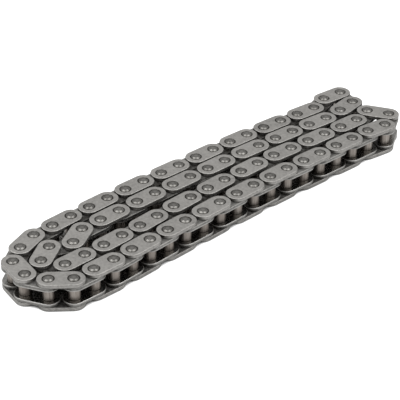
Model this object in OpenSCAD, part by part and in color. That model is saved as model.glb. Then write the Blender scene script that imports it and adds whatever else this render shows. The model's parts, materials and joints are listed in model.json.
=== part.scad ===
// Engine timing chain: an endless bush chain of outer links (two plates riveted on two pins) and
// inner links (two plates pressed on two bushes), laid on its side in four folded strands.
// X runs along the strands, Z along the pins. Z = 0 is the lower ends of the pins, and the middle of
// the chain's outline is at X = Y = 0.

/* [Chain] */
// Distance between neighbouring pins
pitch = 6.35; // [6:0.05:10]
// Gap between the round ends of two plates that follow each other in one row
end_gap = 0.35; // [0.3:0.05:1]
// Thickness of every plate
plate_t = 1.04; // [0.7:0.02:1.5]
// Width between the two plates of an inner link
inner_w = 3.7; // [2.5:0.1:6]
// Side play between an inner plate and the outer plate over it
side_play = 0.08; // [0.04:0.02:0.3]
// Chamfer round the edges of a plate
plate_edge = 0.18; // [0.05:0.01:0.3]

/* [Pins] */
// Diameter of a pin
pin_d = 2.31; // [1.6:0.01:2.6]
// Widest diameter of a riveted pin end
rivet_d = 2.9; // [2.7:0.05:3.1]
// Diameter of the flat on a riveted pin end
rivet_flat_d = 1.7; // [1:0.05:2.2]
// How far a riveted pin end stands out of the plate
rivet_rise = 0.3; // [0.1:0.05:0.8]
// Depth below the plate's face at which a riveted pin end is widest
rivet_low = 0.1; // [0.05:0.01:0.15]
// Diameter of the countersink round a pin, at the plate's face
sink_d = 3.3; // [3.2:0.05:4]
// Depth of the countersink
sink_h = 0.3; // [0.2:0.02:0.5]

/* [Bushes] */
// Outer diameter of a bush
bush_d = 3.3; // [3.1:0.05:4]
// Radial play of a pin in its bush
pin_play = 0.03; // [0.01:0.01:0.1]
// Chamfer at the ends of a bush's bore
bore_edge = 0.1; // [0.04:0.01:0.2]

/* [Hidden] */
// Radial gap drawn at a press fit, so that pressed pieces stay separate solids
seat_gap = 0.01;
// Roundness of the drawn circles
$fn = 48;

outer_plate_colour = [0.62, 0.61, 0.59];
inner_plate_colour = [0.58, 0.57, 0.55];
pin_colour = [0.48, 0.47, 0.45];
bush_colour = [0.52, 0.49, 0.46];

// The lay of the chain, in rows of [links, heading of the first, heading of the last]. Headings are
// in degrees from +X towards +Y, starting with link 1 at the right end of the front strand.
// The outer strands, which are free to swing
front_strand = [[1, 172.6, 172.6], [5, 178.5, 178.1], [5, 179.7, 182.1], [5, 181.4, 183.3],
                [2, 179, 179]];
left_outer_bend = [[1, 141.1, 141.1], [1, 119.1, 119.1], [1, 80.7, 80.7], [1, 35.7, 35.7], [1, 20, 20]];
back_strand = [[8, 2.9, -1.3], [8, -0.2, -5.2], [1, 16.6, 16.6], [1, -5.3, -5.3]];
right_outer_bend = [[1, -102, -102]];
// The inner strands, which lie as one run between the outer ones
right_inner_bend = [[1, -170.7, -170.7], [1, -176.1, -176.1]];
third_strand = [[7, 174.5, 179.5], [7, 179.1, 181.3]];
left_inner_bend = [[1, 210.1, 210.1], [1, 157.7, 157.7], [1, 213, 213], [1, 304.8, 304.8]];
second_strand = [[6, 0.1, 5.1], [6, 2.4, 0.3], [5, -4.1, -2.6], [1, 14.3, 14.3]];

// Heading of every link in some rows of the lay
function spread(rows) = [for (row = rows) for (i = [0 : row[0] - 1])
    row[1] + (row[2] - row[1]) * i / max(1, row[0] - 1)];
free_headings = spread(concat(front_strand, left_outer_bend, back_strand, right_outer_bend));
held_headings = spread(concat(right_inner_bend, third_strand, left_inner_bend, second_strand));
headings = concat(free_headings, held_headings);
// The two links after these close the loop
links = len(headings) + 2;

// Third corner of two links that join a to b, to the left of the line from a to b
function elbow(a, b) =
    let (half = (b - a) / 2, rise = sqrt(pitch * pitch - half * half) / norm(half))
    a + half + rise * [-half.y, half.x];

// Where each link starts, one step of a pitch after another
function walk(at, i) = i == len(headings) ? [at]
    : concat([at], walk(at + pitch * [cos(headings[i]), sin(headings[i])], i + 1));
steps = walk([0, 0], 0);
loop = concat(steps, [elbow(steps[links - 2], steps[0])]);
loop_x = [for (p = loop) p.x];
loop_y = [for (p = loop) p.y];
loop_mid = [max(loop_x) + min(loop_x), max(loop_y) + min(loop_y)] / 2;

// Plan position of pin n, counted from 1. Link n runs from pin n to pin n + 1.
function pin_at(n) = loop[(n - 1) % links] - loop_mid;
function heading(n) =
    let (d = pin_at(n + 1) - pin_at(n)) atan2(d.y, d.x);

// Levels along the pins, from the lower pin ends up
plate_r = (pitch - end_gap) / 2;
low_outer_z = rivet_rise;
low_inner_z = low_outer_z + plate_t + side_play;
high_inner_z = low_inner_z + plate_t + inner_w;
high_outer_z = high_inner_z + plate_t + side_play;
chain_w = high_outer_z + plate_t + rivet_rise;
bush_len = inner_w + 2 * plate_t;

// The held run is one body. The free links hang on its two ends as two arms, which part at the pin
// halfway. Its core stays in the bush of one arm, and its riveted ends in the plates of the other.
held_links = [len(free_headings) + 1 : len(headings)];
parted_pin = len(free_headings) / 2;
// Links drawn piece by piece
pieced_links = [1, 2, parted_pin];
free_links = [for (n = [1 : links])
              if ((n <= len(free_headings) || n > len(headings)) && len(search(n, pieced_links)) == 0) n];

function is_outer(n) = n % 2 == 1;
function two_digits(n) = n < 10 ? str("0", n) : str(n);
function link_name(n) = str(is_outer(n) ? "outer_link_" : "inner_link_", two_digits(n));

// Half section of a plate's rim, from the middle of the plate out to its edge
module rim_section() {
    polygon([[0, 0], [plate_r - plate_edge, 0], [plate_r, plate_edge],
             [plate_r, plate_t - plate_edge], [plate_r - plate_edge, plate_t], [0, plate_t]]);
}

// Straight-sided plate with round ends, from the origin to [pitch, 0], lying on Z = 0
module plate_blank() {
    rotate([0, 0, 90]) rotate_extrude(angle = 180) rim_section();
    translate([pitch, 0, 0]) rotate([0, 0, -90]) rotate_extrude(angle = 180) rim_section();
    rotate([90, 0, 90]) linear_extrude(pitch) {
        rim_section();
        mirror([1, 0]) rim_section();
    }
}

// Outer plate, drilled for its pins and countersunk on its upper face for their riveted ends
module outer_plate() {
    hole_r = pin_d / 2 + seat_gap;
    difference() {
        plate_blank();
        for (x = [0, pitch]) translate([x, 0, 0])
            rotate_extrude() polygon([[0, -plate_t], [hole_r, -plate_t], [hole_r, plate_t - sink_h],
                                      [sink_d / 2, plate_t], [sink_d / 2, 2 * plate_t],
                                      [0, 2 * plate_t]]);
    }
}

// Inner plate, bored for the bushes
module inner_plate() {
    difference() {
        plate_blank();
        for (x = [0, pitch]) translate([x, 0, -plate_t])
            cylinder(d = bush_d + 2 * seat_gap, h = 3 * plate_t);
    }
}

// Half section of a riveted pin end, from the rim of its flat in to the shank, as [radius, depth]
rivet = [[rivet_flat_d / 2, 0], [rivet_d / 2, rivet_rise + rivet_low], [pin_d / 2, rivet_rise + sink_h]];

// Pin with both ends riveted over
module pin() {
    rotate_extrude() polygon(concat([[0, 0]], rivet,
        [for (i = [len(rivet) - 1 : -1 : 0]) [rivet[i].x, chain_w - rivet[i].y]], [[0, chain_w]]));
}

// One riveted end of the parted pin, flush with the inner face of its outer plate
module pin_end() {
    shank = rivet_rise + plate_t;
    rotate_extrude() polygon(concat([[0, 0]], rivet, [[pin_d / 2, shank], [0, shank]]));
}

// The core of the parted pin, as long as the bush that holds it
module pin_core() {
    translate([0, 0, low_inner_z]) cylinder(d = pin_d, h = bush_len);
}

// Bush, pressed flush into both inner plates, with a chamfered bore
module bush() {
    bore_r = pin_d / 2 + pin_play;
    mouth_r = bore_r + bore_edge;
    translate([0, 0, low_inner_z]) rotate_extrude()
        polygon([[mouth_r, 0], [bush_d / 2, 0], [bush_d / 2, bush_len], [mouth_r, bush_len],
                 [bore_r, bush_len - bore_edge], [bore_r, bore_edge]]);
}

// Puts its children, drawn from the origin along +X, on link n
module on_link(n) {
    translate(pin_at(n)) rotate([0, 0, heading(n)]) children();
}

// Each piece of link n. The upper plates carry their countersinks on top and the lower ones below.
module outer_upper(n) {
    color(outer_plate_colour) on_link(n) translate([0, 0, high_outer_z]) outer_plate();
}

module outer_lower(n) {
    color(outer_plate_colour) on_link(n) translate([0, 0, low_outer_z + plate_t])
        mirror([0, 0, 1]) outer_plate();
}

module inner_upper(n) {
    color(inner_plate_colour) on_link(n) translate([0, 0, high_inner_z]) inner_plate();
}

module inner_lower(n) {
    color(inner_plate_colour) on_link(n) translate([0, 0, low_inner_z]) inner_plate();
}

module pin_in(n) {
    color(pin_colour) translate(pin_at(n)) pin();
}

module pin_ends_in(n) {
    color(pin_colour) translate(pin_at(n)) {
        pin_end();
        translate([0, 0, chain_w]) mirror([0, 0, 1]) pin_end();
    }
}

module bush_in(n) {
    color(bush_colour) translate(pin_at(n)) bush();
}

// A whole link: its two plates, and its two pins or two bushes
module link(n) {
    if (is_outer(n)) {
        outer_upper(n);
        outer_lower(n);
        pin_in(n);
        pin_in(n + 1);
    } else {
        inner_upper(n);
        inner_lower(n);
        bush_in(n);
        bush_in(n + 1);
        if (n + 1 == parted_pin) color(pin_colour) translate(pin_at(n + 1)) pin_core();
    }
}

module outer_plates_upper() { for (n = held_links) if (is_outer(n)) outer_upper(n); }
module outer_plates_lower() { for (n = held_links) if (is_outer(n)) outer_lower(n); }
module inner_plates_upper() { for (n = held_links) if (!is_outer(n)) inner_upper(n); }
module inner_plates_lower() { for (n = held_links) if (!is_outer(n)) inner_lower(n); }
module pins() { for (n = held_links) pin_in(n); }
module bushes() { for (n = held_links) bush_in(n + 1); }

outer_plates_upper();
outer_plates_lower();
inner_plates_upper();
inner_plates_lower();
pins();
bushes();
outer_upper(1);  // outer_plate_01_upper
outer_lower(1);  // outer_plate_01_lower
pin_in(1);  // pin_01
pin_in(2);  // pin_02
inner_upper(2);  // inner_plate_02_upper
inner_lower(2);  // inner_plate_02_lower
bush_in(2);  // bush_02
bush_in(3);  // bush_03
outer_upper(parted_pin);  // outer_plate_21_upper
outer_lower(parted_pin);  // outer_plate_21_lower
pin_ends_in(parted_pin);  // pin_21_ends
pin_in(parted_pin + 1);  // pin_22
for (n = free_links) link(n);
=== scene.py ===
"""The looks of the timing chain: every link's plates, pins and bushes as finished steel pieces."""
import json
import math
import random

import bmesh
import bpy
import numpy as np
from mathutils import Matrix, Vector


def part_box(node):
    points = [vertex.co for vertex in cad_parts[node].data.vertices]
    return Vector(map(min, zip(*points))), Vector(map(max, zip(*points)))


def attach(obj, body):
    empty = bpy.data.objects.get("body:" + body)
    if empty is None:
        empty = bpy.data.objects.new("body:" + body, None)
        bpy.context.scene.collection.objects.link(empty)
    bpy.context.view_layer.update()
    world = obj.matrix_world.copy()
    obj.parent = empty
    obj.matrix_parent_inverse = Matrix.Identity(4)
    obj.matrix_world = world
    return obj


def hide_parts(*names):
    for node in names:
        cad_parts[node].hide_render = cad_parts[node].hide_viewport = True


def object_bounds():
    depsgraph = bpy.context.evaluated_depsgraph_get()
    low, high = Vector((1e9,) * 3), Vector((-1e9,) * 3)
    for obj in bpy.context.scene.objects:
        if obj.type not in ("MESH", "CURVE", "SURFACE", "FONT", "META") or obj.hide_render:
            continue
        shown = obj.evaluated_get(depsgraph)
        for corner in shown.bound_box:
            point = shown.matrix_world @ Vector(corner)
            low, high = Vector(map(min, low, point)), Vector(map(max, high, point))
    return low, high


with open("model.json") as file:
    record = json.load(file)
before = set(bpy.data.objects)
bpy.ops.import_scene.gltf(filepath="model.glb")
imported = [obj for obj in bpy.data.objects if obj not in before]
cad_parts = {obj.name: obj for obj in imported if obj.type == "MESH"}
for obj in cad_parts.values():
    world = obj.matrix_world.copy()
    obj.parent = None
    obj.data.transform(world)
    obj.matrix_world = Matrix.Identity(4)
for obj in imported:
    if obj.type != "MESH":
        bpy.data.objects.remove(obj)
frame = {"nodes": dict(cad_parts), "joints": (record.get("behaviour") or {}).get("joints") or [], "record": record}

cad_box = [list(corner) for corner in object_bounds()]
MM = 0.001

# The links of the chain. The outer run goes round the outside of the folded chain.
LINKS = 82
HELD_RUN = range(43, 81)
OUTER_RUN = [*range(1, 45), 81, 82]
PARTED_PIN = 21

# Sizes that the frame gives
PLATE_LOW, PLATE_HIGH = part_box("outer_plate_01_upper")
PLATE_T = PLATE_HIGH.z - PLATE_LOW.z
UPPER_OUTER_Z = PLATE_LOW.z
LOWER_OUTER_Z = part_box("outer_plate_01_lower")[0].z
UPPER_INNER_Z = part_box("inner_plate_02_upper")[0].z
LOWER_INNER_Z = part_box("inner_plate_02_lower")[0].z
PIN_LOW, PIN_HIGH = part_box("pin_01")
PIN_LENGTH = PIN_HIGH.z - PIN_LOW.z
RIVET_R = (PIN_HIGH.x - PIN_LOW.x) / 2
BUSH_LOW, BUSH_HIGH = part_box("bush_02")
BUSH_LENGTH = BUSH_HIGH.z - BUSH_LOW.z
BUSH_R = (BUSH_HIGH.x - BUSH_LOW.x) / 2

# Sizes inside those pieces. HOLD is the short step beside an edge that keeps the shading crisp there,
# and FIT is the play round a piece that sits in a hole.
PIN_R = 1.155 * MM
BORE_R = 1.185 * MM
FIT = 0.01 * MM
HOLD = 0.05 * MM
ROLL = 0.22 * MM
BURR = 0.12 * MM
BURR_CORNER = 0.3 * BURR
WALL_MIDDLE = 0.4 * PLATE_T
SINK_R = 1.65 * MM
SINK_DEPTH = 0.3 * MM
SINK_LIP = 0.03 * MM
BUSH_HOLE_LIP = 0.08 * MM
BUSH_EDGE = 0.1 * MM
RIVET_FLAT_R = 0.85 * MM
RIVET_DEPTH = 0.4 * MM
RIVET_SEAT = 0.6 * MM
RIVET_DISH = 0.04 * MM
RIVET_ROUND = 0.07 * MM

# Steps round a turned piece, round a plate's end, along half of its side and across its middle
ROUND_STEPS = 40
END_STEPS = 20
SIDE_STEPS = 3
MIDDLE_STEPS = 8
SHARP_EDGE = math.radians(50)

# Finish along the profiles, with painted light in it: 1 is polished by handling and a painted highlight, 0 is
# plain and -1 is dark with old oil and painted shade in recesses and on hidden faces. The rolled edge gets it at
# some degrees round, painted lighter near the face and darker towards the wall. EDGE_FADE is its loss beside the
# burr's corner, and the wall gets a painted gain of light at its middle.
PLAIN = 0.0
HIDDEN_SHADE = -0.9
OIL_AND_SHADE = -1.0
ROLL_WEAR_AND_SHADE = ((25, 0.1), (50, -0.1), (70, -0.2))
EDGE_FADE = 0.2
WALL_MIDDLE_LIGHT = 0.1

# Painted shade between close links: what it takes off that finish, and how far it reaches from a link
LINK_SHADE = 1.2
LINK_SHADE_REACH = 2.0 * MM

# Colours of the steels, each at its shade from 0, under old oil and painted shade, to 1, where it is brightest
OIL_AND_SHADE_COLOUR = (0.035, 0.031, 0.027)
OUTER_PLATE_COLOURS = {0.0: OIL_AND_SHADE_COLOUR, 0.6: (0.46, 0.45, 0.432), 1.0: (0.64, 0.625, 0.6)}
INNER_PLATE_COLOURS = {0.0: OIL_AND_SHADE_COLOUR, 0.6: (0.4, 0.395, 0.38), 1.0: (0.58, 0.57, 0.55)}
PIN_COLOURS = {0.0: OIL_AND_SHADE_COLOUR, 0.6: (0.17, 0.165, 0.155), 1.0: (0.42, 0.41, 0.39)}
BUSH_COLOURS = {0.0: OIL_AND_SHADE_COLOUR, 0.4: (0.21, 0.185, 0.165), 0.65: (0.36, 0.325, 0.295),
                1.0: (0.6, 0.58, 0.54)}

# What a piece's own tone and its wear and painted light add to its shade, and how far the tone moves its noise
TONE_SHARE = 0.1
WEAR_AND_LIGHT_SHARE = 0.6
TONE_SHIFT = 40.0

# The floor under the chain
FLOOR_SIDE = 6.0
FLOOR_MARGIN = 8 * MM
FLOOR_STEP = 0.6 * MM
FLOOR_Z = -0.02 * MM
FLOOR_COLOUR = (0.55, 0.55, 0.55, 1.0)
FLOOR_ROUGHNESS = 0.9
WHITE = (1, 1, 1, 1)
MIRRORED_WHITE = 0.4

# The floor's shades: as the camera sees it, as the steel mirrors it, and the soft shadow that falls away
# from the photograph's side. Each looks round as far as its reach. It is full up to the first share of
# open surroundings and gone from the second. Between the strands BETWEEN_SHARE is added to both.
SEEN_REACH, SEEN_SHARES = 14 * MM, (0.1, 0.35)
MIRRORED_REACH, MIRRORED_SHARES = 15 * MM, (0.3, 0.8)
SHADOW_REACH, SHADOW_SHARES = 16 * MM, (0.35, 0.75)
SHADOW_LIGHT_HEIGHT = math.radians(35)
BETWEEN_SHARE = 0.4
SHADE_SAMPLES = 16

# Camera, set against the photograph's pins. CAMERA_SIDE is the bearing from the chain to it.
PHOTO_SIDE = 400
FOCAL = 1641.5
AZIMUTH, ELEVATION, CAMERA_ROLL = map(math.radians, (42.841, 33.313, 0.907))
CAMERA_SIDE = AZIMUTH + math.pi
TARGET = Vector((-8.65, -6.02, 8.5)) * MM
DISTANCE = 437.24 * MM
NEAREST = DISTANCE / 20
SENSOR = 36.0

# Two square lamps, one on each side of the camera's line of sight, and an even room
LAMP_TURN = math.radians(87)
LAMP_HEIGHT = math.radians(63)
LAMP_DISTANCE = 0.8
LAMP_SIDE = 0.45
LAMP_BRIGHTNESS = 2.5
ROOM_COLOUR = (1.0, 0.995, 0.985, 1.0)
ROOM_BRIGHTNESS = 0.52

SEED = 21
draw = random.Random(SEED)


def lay_of_pins():
    """Plan place of every pin, from the hinges, the parted pin and the held run's own pins, whose points
    come in the order of its links."""
    places = {int(j["name"].split("_")[1]): Vector(j["pos_m"][:2]) for j in frame["joints"]}
    low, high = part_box("pin_21_ends")
    places[PARTED_PIN] = Vector(((low.x + high.x) / 2, (low.y + high.y) / 2))
    points = np.array([v.co[:2] for v in frame["nodes"]["pins"].data.vertices])
    for n in HELD_RUN:
        of_one_pin = np.linalg.norm(points - points[0], axis=1) < 2 * RIVET_R + HOLD
        places.setdefault(n, Vector((points[of_one_pin].min(0) + points[of_one_pin].max(0)) / 2))
        points = points[~of_one_pin]
    return places


PINS = lay_of_pins()


def pin_place(n):
    return PINS[(n - 1) % LINKS + 1]


# A plate's box reaches past the plate's two pins by the radius of its ends
PITCH = (pin_place(2) - pin_place(1)).length
PLATE_R = (PLATE_HIGH.y - PLATE_LOW.y - abs(pin_place(2).y - pin_place(1).y)) / 2


class Stock:
    """The points and faces of one kind of piece, with its outside made to face outwards."""

    def __init__(self, points, faces, wear_and_painted_light):
        mesh = bpy.data.meshes.new("stock")
        mesh.from_pydata(points, [], faces)
        shape = bmesh.new()
        shape.from_mesh(mesh)
        bmesh.ops.recalc_face_normals(shape, faces=shape.faces)
        self.faces = [[v.index for v in face.verts] for face in shape.faces]
        self.points = [Vector(p) for p in points]
        self.wear_and_painted_light = wear_and_painted_light
        shape.free()
        bpy.data.meshes.remove(mesh)


def band(one, other):
    """Faces between two closed rings of points, or between a pole and a ring."""
    if len(one) == 1:
        return [(one[0], other[i], other[i - 1]) for i in range(len(other))]
    if len(other) == 1:
        return band(other, one)
    return [(one[i - 1], one[i], other[i], other[i - 1]) for i in range(len(one))]


def revolve(profile, closed=False):
    """A profile of (radius, height, wear and painted light) turned about Z."""
    points, faces, wear_and_painted_light, rings = [], [], [], []
    for radius, height, wear_and_painted_light_here in profile:
        steps = ROUND_STEPS if radius else 1
        rings.append(range(len(points), len(points) + steps))
        for i in range(steps):
            angle = math.tau * i / steps
            points.append((radius * math.cos(angle), radius * math.sin(angle), height))
            wear_and_painted_light.append(wear_and_painted_light_here)
    for one, other in zip(rings, rings[1:]):
        faces += band(one, other)
    if closed:
        faces += band(rings[-1], rings[0])
    return Stock(points, faces, wear_and_painted_light)


def outline(inset):
    """A plate's outline, from the middle of its upper side round by the pin at the origin."""
    radius = PLATE_R - inset
    half = [(PITCH / 2 - i * PITCH / 2 / SIDE_STEPS, radius) for i in range(SIDE_STEPS)]
    for i in range(END_STEPS + 1):
        angle = math.pi / 2 + math.pi * i / END_STEPS
        half.append((radius * math.cos(angle), radius * math.sin(angle)))
    half += [(i * PITCH / 2 / SIDE_STEPS, -radius) for i in range(1, SIDE_STEPS)]
    return half + [(PITCH - x, -y) for x, y in half]


def plate_rim(face_wear_and_shade, inside_wear_and_shade, edge_wear_and_highlight, wall_wear_and_shade):
    """A plate's rim as (inset, height, wear and painted light), from its outer face over the rolled edge to the
    burr.
    The roll and the wall are painted lighter and darker along it, and the burr's corner gets a painted highlight.
    """
    rim = [(ROLL + 2 * HOLD, PLATE_T, face_wear_and_shade), (ROLL, PLATE_T, face_wear_and_shade / 2)]
    for degrees, wear_and_painted_light in (*ROLL_WEAR_AND_SHADE, (90, wall_wear_and_shade)):
        angle = math.radians(degrees)
        rim.append((ROLL * (1 - math.sin(angle)), PLATE_T - ROLL * (1 - math.cos(angle)), wear_and_painted_light))
    return rim + [
        (0, PLATE_T - ROLL - HOLD, wall_wear_and_shade), (0, WALL_MIDDLE, wall_wear_and_shade + WALL_MIDDLE_LIGHT),
        (0, BURR + HOLD, edge_wear_and_highlight - 2 * EDGE_FADE), (0, BURR, edge_wear_and_highlight - EDGE_FADE),
        (BURR_CORNER, BURR_CORNER, edge_wear_and_highlight), (BURR, 0, edge_wear_and_highlight - EDGE_FADE),
        (BURR + HOLD, 0, inside_wear_and_shade)]


def plate(hole, face_wear_and_shade, inside_wear_and_shade, edge_wear_and_highlight, wall_wear_and_shade):
    """A plate on Z = 0 along +X, with its rolled face up. hole is (radius, height, wear and painted light), going
    down.
    """
    points, faces, wear_and_painted_light = [], [], []

    def add(ring, height, wear_and_painted_light_here):
        start = len(points)
        points.extend((x, y, height) for x, y in ring)
        wear_and_painted_light.extend([wear_and_painted_light_here] * len(ring))
        return list(range(start, len(points)))

    rings = [add(outline(inset), height, wear_and_painted_light_here)
             for inset, height, wear_and_painted_light_here in plate_rim(face_wear_and_shade, inside_wear_and_shade, edge_wear_and_highlight, wall_wear_and_shade)]
    for one, other in zip(rings, rings[1:]):
        faces += band(one, other)
    # Each flat is two loops, one for each hole, that meet in a seam across the plate's middle
    half = len(rings[0]) // 2
    flats = []
    for ring, height, wear_and_painted_light_here in ((rings[0], PLATE_T, face_wear_and_shade), (rings[-1], 0, inside_wear_and_shade)):
        reach = abs(points[ring[0]][1])
        middle = [(PITCH / 2, reach * (2 * i / MIDDLE_STEPS - 1)) for i in range(1, MIDDLE_STEPS)]
        seam = add(middle, height, wear_and_painted_light_here)
        flats.append((ring[:half + 1] + seam, ring[half:] + ring[:1] + seam[::-1]))
    for upper, lower, centre in zip(*flats, (0.0, PITCH)):
        angles = [math.atan2(points[k][1], points[k][0] - centre) for k in upper]
        bore = [add([(centre + radius * math.cos(a), radius * math.sin(a)) for a in angles],
                    height, wear_and_painted_light_here)
                for radius, height, wear_and_painted_light_here in hole]
        for one, other in zip([upper] + bore, bore + [lower]):
            faces += band(one, other)
    return Stock(points, faces, wear_and_painted_light)


def outer_plate_stock():
    """An outer plate, countersunk in its outer face for the riveted pins."""
    seat_r = PIN_R + FIT
    sink_z = PLATE_T - SINK_DEPTH
    # The countersink and the pin's seat are painted dark: painted shade in the recess, with old oil.
    hole = [
        (SINK_R + SINK_LIP + HOLD, PLATE_T, PLAIN), (SINK_R + SINK_LIP, PLATE_T, -0.2),
        (SINK_R, PLATE_T - SINK_LIP, HIDDEN_SHADE), (seat_r + SINK_LIP, sink_z + SINK_LIP, OIL_AND_SHADE),
        (seat_r, sink_z, OIL_AND_SHADE), (seat_r, BURR, OIL_AND_SHADE), (seat_r + BURR, 0, HIDDEN_SHADE)]
    # Its hidden inside face is painted dark as painted shade, and its wall darker with painted shade.
    return plate(hole, face_wear_and_shade=PLAIN, inside_wear_and_shade=-0.5, edge_wear_and_highlight=0.1, wall_wear_and_shade=-0.3)


def inner_plate_stock():
    """An inner plate, with a lip round its holes on both faces for the bushes."""
    seat_r = BUSH_R + FIT
    lip_r = seat_r + BUSH_HOLE_LIP
    # The lip round each hole is painted dark: painted shade round the bush, with old oil.
    hole = [
        (lip_r + HOLD, PLATE_T, -0.5), (lip_r, PLATE_T, -0.6), (seat_r, PLATE_T - BUSH_HOLE_LIP, OIL_AND_SHADE),
        (seat_r, BUSH_HOLE_LIP, OIL_AND_SHADE), (lip_r, 0, HIDDEN_SHADE), (lip_r + HOLD, 0, -0.2)]
    # Its outer face and wall are painted darker as painted shade, and its burr's corner lighter with a painted
    # highlight.
    return plate(hole, face_wear_and_shade=-0.2, inside_wear_and_shade=-0.2, edge_wear_and_highlight=0.8, wall_wear_and_shade=-0.5)


def rivet_profile():
    """A riveted end as (radius, depth, wear and painted light), from the middle of its dished flat to the shank.
    The ring at the head's edge and its seat are painted dark: painted shade in the groove, with old oil.
    """
    return [
        (0, RIVET_DISH, 0.3), (RIVET_FLAT_R * 0.4, RIVET_DISH * 0.8, 0.3),
        (RIVET_FLAT_R * 0.75, RIVET_DISH * 0.3, 0.1), (RIVET_FLAT_R * 0.88, 0, PLAIN),
        (RIVET_FLAT_R - RIVET_ROUND * 0.3, 0, PLAIN),
        (RIVET_FLAT_R + RIVET_ROUND * 0.5, RIVET_ROUND * 0.5, 0.1),
        (RIVET_FLAT_R + RIVET_ROUND, RIVET_ROUND * 0.8, 0.1),
        (RIVET_R - RIVET_ROUND * 3, RIVET_DEPTH - RIVET_ROUND * 2, 0.1),
        (RIVET_R - RIVET_ROUND, RIVET_DEPTH - RIVET_ROUND * 0.7, -0.7),
        (RIVET_R, RIVET_DEPTH, OIL_AND_SHADE), (RIVET_R - RIVET_ROUND, RIVET_DEPTH + RIVET_ROUND, OIL_AND_SHADE),
        (PIN_R, RIVET_SEAT, OIL_AND_SHADE), (PIN_R, RIVET_SEAT + HOLD, OIL_AND_SHADE)]


def pin_stock():
    """A whole pin, riveted at both ends."""
    end = rivet_profile()
    return revolve(end + [(r, PIN_LENGTH - depth, wear_and_painted_light) for r, depth, wear_and_painted_light in reversed(end)])


def pin_end_stock():
    """A riveted end of the parted pin, as deep as an outer plate and its rivet."""
    depth = PIN_HIGH.z - UPPER_OUTER_Z
    return revolve(rivet_profile() + [
        (PIN_R, depth - HOLD, OIL_AND_SHADE), (PIN_R - HOLD, depth, -0.5), (0, depth, -0.5)])


def pin_core_stock():
    """The core of the parted pin, as long as a bush."""
    return revolve([
        (0, 0, -0.4), (PIN_R - HOLD, 0, -0.4), (PIN_R, HOLD, PLAIN), (PIN_R, BUSH_LENGTH - HOLD, PLAIN),
        (PIN_R - HOLD, BUSH_LENGTH, -0.4), (0, BUSH_LENGTH, -0.4)])


def bush_stock():
    """A bush, dark with old oil and painted shade where the inner plates hold it and in its bore, and plain
    between them.
    """
    lower_plate, upper_plate = PLATE_T + HOLD, BUSH_LENGTH - PLATE_T - HOLD
    return revolve([
        (BUSH_R, lower_plate + HOLD, PLAIN), (BUSH_R, lower_plate, OIL_AND_SHADE), (BUSH_R, BUSH_EDGE, OIL_AND_SHADE),
        (BUSH_R - BUSH_EDGE, 0, -0.3), (BORE_R + BUSH_EDGE, 0, -0.3), (BORE_R, BUSH_EDGE, -0.6),
        (BORE_R, BUSH_LENGTH - BUSH_EDGE, -0.6), (BORE_R + BUSH_EDGE, BUSH_LENGTH, -0.3),
        (BUSH_R - BUSH_EDGE, BUSH_LENGTH, -0.3), (BUSH_R, BUSH_LENGTH - BUSH_EDGE, OIL_AND_SHADE),
        (BUSH_R, upper_plate, OIL_AND_SHADE), (BUSH_R, upper_plate - HOLD, PLAIN)], closed=True)


STOCK = {"outer_plate": outer_plate_stock(), "inner_plate": inner_plate_stock(), "pin": pin_stock(),
         "pin_end": pin_end_stock(), "pin_core": pin_core_stock(), "bush": bush_stock()}
TURNED_OVER = Matrix.Rotation(math.pi, 4, "X")


class Look:
    """A material, with short ways to add its nodes. An input takes a number, a vector or an output."""

    def __init__(self, name):
        self.material = bpy.data.materials.new(name)
        self.material.use_nodes = True
        self.shader = self.material.node_tree.nodes["Principled BSDF"]

    def put(self, node, name, value):
        """Set a node's input, or link another node's output to it."""
        if isinstance(value, bpy.types.NodeSocket):
            self.material.node_tree.links.new(value, node.inputs[name])
        else:
            node.inputs[name].default_value = value

    def node(self, kind, inputs, **settings):
        """A new node of a kind, with its settings made first and then its inputs."""
        node = self.material.node_tree.nodes.new("ShaderNode" + kind)
        for name, value in settings.items():
            setattr(node, name, value)
        for name, value in inputs.items():
            self.put(node, name, value)
        return node

    def read(self, name, output="Fac"):
        """A value kept on the points of the mesh."""
        return self.node("Attribute", {}, attribute_name=name).outputs[output]

    def product(self, one, other):
        return self.node("Math", {0: one, 1: other}, operation="MULTIPLY").outputs[0]

    def add_up(self, *terms, start=0.0):
        """Terms of (value, weight), added to a start."""
        total = start
        for value, weight in terms:
            total = self.node("Math", {0: value, 1: weight, 2: total}, operation="MULTIPLY_ADD").outputs[0]
        return total

    def grain(self, scale, detail, rate=(1, 1, 1)):
        """Noise in a piece's own millimetres, different on every piece. rate slows it along an axis."""
        place = self.node("VectorMath", {0: self.read("own", "Vector"), 1: rate}, operation="MULTIPLY")
        inputs = {"Vector": place.outputs["Vector"], "W": self.product(self.read("tone"), TONE_SHIFT),
                  "Scale": scale, "Detail": detail}
        return self.node("TexNoise", inputs, noise_dimensions="4D").outputs["Fac"]

    def paint(self, shade, colours):
        """Give the shader the colour at a shade, between colours that are each at their own."""
        node = self.node("ValToRGB", {"Fac": shade})
        elements = node.color_ramp.elements
        while len(elements) < len(colours):
            elements.new(0.5)
        for element, (place, colour) in zip(elements, colours.items()):
            element.position = place
            element.color = (*colour, 1.0)
        self.put(self.shader, "Base Color", node.outputs["Color"])

    def steel(self, colours, *grains, start=0.0):
        """Make it a metal, shaded by grains of (noise, weight), by its own tone and by its wear and painted light.
        """
        own = ((self.read("tone"), TONE_SHARE), (self.read("wear_and_painted_light"), WEAR_AND_LIGHT_SHARE))
        self.put(self.shader, "Metallic", 1.0)
        self.paint(self.add_up(*grains, *own, start=start), colours)

    def roughen(self, *terms, start=0.0):
        self.put(self.shader, "Roughness", self.add_up(*terms, start=start))

    def bump(self, height, depth):
        """Make the surface look raised by a height's share of a real depth."""
        node = self.node("Bump", {"Strength": 1.0, "Distance": depth, "Height": height})
        self.put(self.shader, "Normal", node.outputs["Normal"])


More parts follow.
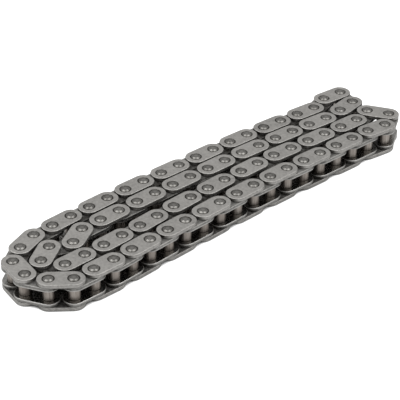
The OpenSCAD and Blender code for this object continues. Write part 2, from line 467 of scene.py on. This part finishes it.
def plate_steel(name, colours):
    """Tumbled satin steel, with a soft mottle, a fine grain, and worn edges with painted highlights and painted
    shade.
    """
    look = Look(name)
    mottle = look.grain(0.45, detail=2.0)
    fine = look.grain(1.6, detail=6.0)
    look.steel(colours, (mottle, 0.2), (fine, 0.75), start=0.155)
    look.roughen((fine, 0.12), (mottle, 0.08), (look.read("wear_and_painted_light"), -0.2), (look.read("polish"), -0.28),
                 start=0.4)
    look.bump(fine, depth=0.03 * MM)
    return look.material


def pin_steel():
    """Darker, harder steel, hammered over, with the fine rings of the riveting tool."""
    look = Look("pin_steel")
    flat = look.node("VectorMath", {0: look.read("own", "Vector"), 1: (1, 1, 0)}, operation="MULTIPLY")
    radius = look.node("VectorMath", {0: flat.outputs["Vector"]}, operation="LENGTH").outputs["Value"]
    rings = look.node("TexNoise", {"W": radius, "Scale": 9.0, "Detail": 4.0},
                      noise_dimensions="1D").outputs["Fac"]
    fine = look.grain(6.0, detail=3.0)
    hammered = look.grain(0.9, detail=1.0)
    look.steel(PIN_COLOURS, (rings, 0.2), (fine, 0.15), start=0.4)
    look.roughen((fine, 0.12), start=0.28)
    look.bump(look.add_up((hammered, 12.0), (fine, 0.5), start=rings), depth=0.01 * MM)
    return look.material


def bush_steel():
    """Drawn steel with a brownish cast and fine streaks along its length."""
    look = Look("bush_steel")
    streaks = look.grain(3.0, detail=4.0, rate=(1, 1, 0.06))
    stain = look.grain(0.6, detail=2.0, rate=(1, 1, 0.5))
    look.steel(BUSH_COLOURS, (streaks, 0.8), (stain, 0.3))
    look.roughen((streaks, 0.2), (stain, 0.1), start=0.24)
    look.bump(streaks, depth=0.006 * MM)
    return look.material


STEEL = {"outer_plate": plate_steel("outer_plate_steel", OUTER_PLATE_COLOURS),
         "inner_plate": plate_steel("inner_plate_steel", INNER_PLATE_COLOURS),
         "pin": pin_steel(), "bush": bush_steel()}


def closed_in(places, others, reach):
    """How near some links' outlines come to each place in plan, from 0 at a reach to 1 at an outline."""
    flat = np.array([p[:2] for p in places])
    nearest = np.full(len(flat), reach)
    for n in others:
        start, end = np.array(pin_place(n)), np.array(pin_place(n + 1))
        along = np.clip((flat - start) @ (end - start) / PITCH ** 2, 0, 1)
        gaps = np.linalg.norm(flat - start - along[:, None] * (end - start), axis=1) - PLATE_R
        nearest = np.minimum(nearest, np.maximum(gaps, 0))
    return 1 - nearest / reach


def link_shade(n, kind, stock, points):
    """Painted shade between close links, taken off the finish of a plate: on its walls, and on the outer face of
    an inner plate, which the outer ones cover."""
    apart = [m for m in range(1, LINKS + 1) if (m - n) % LINKS not in (0, 1, LINKS - 1)]
    if kind == "outer_plate":
        walls = closed_in(points, [m for m in apart if m % 2 == n % 2], LINK_SHADE_REACH)
        face = np.zeros(len(points))
    else:
        walls = face = closed_in(points, apart, 2 * LINK_SHADE_REACH)
    return [LINK_SHADE * (f if p.z > PLATE_T - ROLL / 2 else w) for f, w, p in zip(face, walls, stock.points)]


def keep(mesh, name, values):
    """Keep a number on each point of a mesh, for its material."""
    mesh.attributes.new(name, "FLOAT", "POINT").data.foreach_set("value", values)


def piece(n, name, parts, metal, body, nodes):
    """One shown piece of link n: (stock, matrix) parts of one steel, riding on a body in place of CAD
    nodes. The sprocket's teeth polish the insides of the inner plates."""
    points, faces, own, wear_and_painted_light, tones, polish = [], [], [], [], [], []
    for kind, matrix in parts:
        stock = STOCK[kind]
        start, tone = len(points), draw.random()
        placed = [matrix @ p for p in stock.points]
        points += placed
        faces += [[start + k for k in face] for face in stock.faces]
        own += [p / MM for p in stock.points]
        # Painted shade where other links lie close, taken off the finish
        painted_shade = link_shade(n, kind, stock, placed) if "plate" in kind else [0.0] * len(placed)
        wear_and_painted_light += [max(OIL_AND_SHADE, w - d) for w, d in zip(stock.wear_and_painted_light, painted_shade)]
        tones += [tone] * len(stock.points)
        polish += [float(kind == "inner_plate" and p.z < FIT) for p in stock.points]
    mesh = bpy.data.meshes.new(name)
    mesh.from_pydata(points, [], faces)
    mesh.shade_smooth()
    mesh.set_sharp_from_angle(angle=SHARP_EDGE)
    mesh.attributes.new("own", "FLOAT_VECTOR", "POINT").data.foreach_set("vector", np.array(own).ravel())
    keep(mesh, "wear_and_painted_light", wear_and_painted_light)
    keep(mesh, "tone", tones)
    keep(mesh, "polish", polish)
    mesh.materials.append(STEEL[metal])
    shown = bpy.data.objects.new(name, mesh)
    bpy.context.scene.collection.objects.link(shown)
    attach(shown, body)
    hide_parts(*nodes)


def level(z):
    return Matrix.Translation((0, 0, z))


def named_for(word, cad):
    """The nodes of a body that are named for one kind of its pieces, or all when it is a single node."""
    return [node for node in cad if word in node] or cad


def add_link(n):
    """The plates of link n as one piece, and its pins or bushes as another."""
    start, end = pin_place(n), pin_place(n + 1)
    heading = math.atan2(end.y - start.y, end.x - start.x)
    near = Matrix.Translation((start.x, start.y, 0)) @ Matrix.Rotation(heading, 4, "Z")
    far = near @ Matrix.Translation((PITCH, 0, 0))
    body = "held_run" if n in HELD_RUN else f"link_{n:02d}"
    cad = frame["record"]["behaviour"]["bodies"][body]
    if n % 2:
        kind, low, high = "outer_plate", LOWER_OUTER_Z, UPPER_OUTER_Z
        barrel, group = "pin", "pins"
        barrels = [("pin", near), ("pin", far)]
    else:
        kind, low, high = "inner_plate", LOWER_INNER_Z, UPPER_INNER_Z
        barrel, group = "bush", "bushes"
        barrels = [("bush", near @ level(BUSH_LOW.z)), ("bush", far @ level(BUSH_LOW.z))]
    if n == PARTED_PIN:
        barrels[:1] = [("pin_end", near @ level(PIN_HIGH.z) @ TURNED_OVER), ("pin_end", near)]
    plates = [(kind, near @ level(high)), (kind, near @ level(low + PLATE_T) @ TURNED_OVER)]
    piece(n, f"{kind}s_{n:02d}", plates, kind, body, named_for(kind, cad))
    piece(n, f"{group}_{n:02d}", barrels, barrel, body, named_for(barrel, cad))
    if n + 1 == PARTED_PIN:
        core = [("pin_core", far @ level(BUSH_LOW.z))]
        piece(n, f"pin_core_{PARTED_PIN}", core, "pin", body, cad)


def direction(bearing, height):
    """The direction at a bearing from +Y and a height above the level, both as angles."""
    return Vector((math.sin(bearing) * math.cos(height), math.cos(bearing) * math.cos(height),
                   math.sin(height)))


def add_camera():
    ahead = direction(AZIMUTH, -ELEVATION)
    right = Vector((math.cos(AZIMUTH), -math.sin(AZIMUTH), 0))
    up = right.cross(ahead)
    turned = math.cos(CAMERA_ROLL) * right + math.sin(CAMERA_ROLL) * up
    rotation = Matrix((turned, turned.cross(ahead), -ahead)).transposed()
    data = bpy.data.cameras.new("camera")
    data.sensor_width = SENSOR
    data.lens = FOCAL / PHOTO_SIDE * SENSOR
    data.clip_start = NEAREST
    camera = bpy.data.objects.new("camera", data)
    camera.matrix_world = Matrix.Translation(TARGET - ahead * DISTANCE) @ rotation.to_4x4()
    bpy.context.scene.collection.objects.link(camera)
    bpy.context.scene.camera = camera


def add_lamp(name, turn):
    """A square lamp that faces the chain, with a power that grows with its area. turn is its bearing
    from the camera, to the right."""
    towards = direction(CAMERA_SIDE - turn, LAMP_HEIGHT)
    data = bpy.data.lights.new(name, "AREA")
    data.size = LAMP_SIDE
    data.energy = LAMP_BRIGHTNESS * math.pi * LAMP_SIDE * LAMP_SIDE
    lamp = bpy.data.objects.new(name, data)
    lamp.location = towards * LAMP_DISTANCE
    lamp.rotation_euler = towards.to_track_quat("Z", "Y").to_euler()
    bpy.context.scene.collection.objects.link(lamp)


def add_room():
    world = bpy.data.worlds.new("room")
    world.use_nodes = True
    bpy.context.scene.world = world
    back = world.node_tree.nodes["Background"]
    back.inputs["Color"].default_value = ROOM_COLOUR
    back.inputs["Strength"].default_value = ROOM_BRIGHTNESS


def inside_loop(x, y, corners):
    """Which of the places in plan lie inside a loop of corners."""
    inside = np.zeros(x.shape, bool)
    for one, other in zip(corners, corners[1:] + corners[:1]):
        crosses = (one.y > y) != (other.y > y)
        with np.errstate(divide="ignore", invalid="ignore"):
            reach = one.x + (y - one.y) * (other.x - one.x) / (other.y - one.y)
        inside ^= crosses & (x < reach)
    return inside


def floor_mesh():
    """A wide sheet. It is finer under the chain, to tell the floor between the strands from the rest."""
    lines = []
    for low, high in zip(cad_box[0][:2], cad_box[1][:2]):
        fine = np.arange(low - FLOOR_MARGIN, high + FLOOR_MARGIN, FLOOR_STEP)
        lines.append([-FLOOR_SIDE / 2, *fine, FLOOR_SIDE / 2])
    x, y = np.meshgrid(*lines)
    rows, columns = x.shape
    faces = [(r * columns + c, r * columns + c + 1, (r + 1) * columns + c + 1, (r + 1) * columns + c)
             for r in range(rows - 1) for c in range(columns - 1)]
    points = np.stack([x, y, np.full(x.shape, FLOOR_Z)], -1).reshape(-1, 3)
    mesh = bpy.data.meshes.new("floor")
    mesh.from_pydata(points.tolist(), [], faces)
    between = inside_loop(x, y, [pin_place(n) for n in OUTER_RUN])
    keep(mesh, "between", between.ravel().astype(float))
    return mesh


def openness(look, reach, shares, towards=None):
    """How open the floor is within a reach, from 0 at the first share to 1 at the second. It looks
    straight up, or towards a direction."""
    inputs = {"Distance": reach}
    if towards is not None:
        inputs["Normal"] = look.node("CombineXYZ", dict(zip("XYZ", towards))).outputs[0]
    open_share = look.node("AmbientOcclusion", inputs, samples=SHADE_SAMPLES).outputs["AO"]
    inputs = {"Value": open_share, "From Min": shares[0], "From Max": shares[1]}
    return look.node("MapRange", inputs, interpolation_type="SMOOTHSTEP").outputs["Result"]


def floor_white():
    """White by its own light away from the chain, with the shade under and between the strands and the
    soft shadow on the far side."""
    look = Look("floor_white")
    look.put(look.shader, "Base Color", FLOOR_COLOUR)
    look.roughen(start=FLOOR_ROUGHNESS)
    between = look.read("between")
    seen, mirrored = [
        openness(look, reach, [look.add_up((between, BETWEEN_SHARE), start=share) for share in shares])
        for reach, shares in ((SEEN_REACH, SEEN_SHARES), (MIRRORED_REACH, MIRRORED_SHARES))]
    path = look.node("LightPath", {}).outputs
    mirror_rays = look.add_up((path["Is Transmission Ray"], 1.0), start=path["Is Glossy Ray"])
    white = look.add_up((look.product(seen, path["Is Camera Ray"]), 1.0),
                        (look.product(mirrored, mirror_rays), MIRRORED_WHITE))
    lit = openness(look, SHADOW_REACH, SHADOW_SHARES, direction(CAMERA_SIDE, SHADOW_LIGHT_HEIGHT))
    look.put(look.shader, "Emission Color", WHITE)
    look.put(look.shader, "Emission Strength", look.product(white, lit))
    return look.material


def add_floor():
    floor = bpy.data.objects.new("floor", floor_mesh())
    bpy.context.scene.collection.objects.link(floor)
    floor.data.materials.append(floor_white())


for n in range(1, LINKS + 1):
    add_link(n)
add_camera()
add_lamp("left_lamp", -LAMP_TURN)
add_lamp("right_lamp", LAMP_TURN)
add_room()
add_floor()
bpy.context.scene.view_settings.view_transform = "Standard"
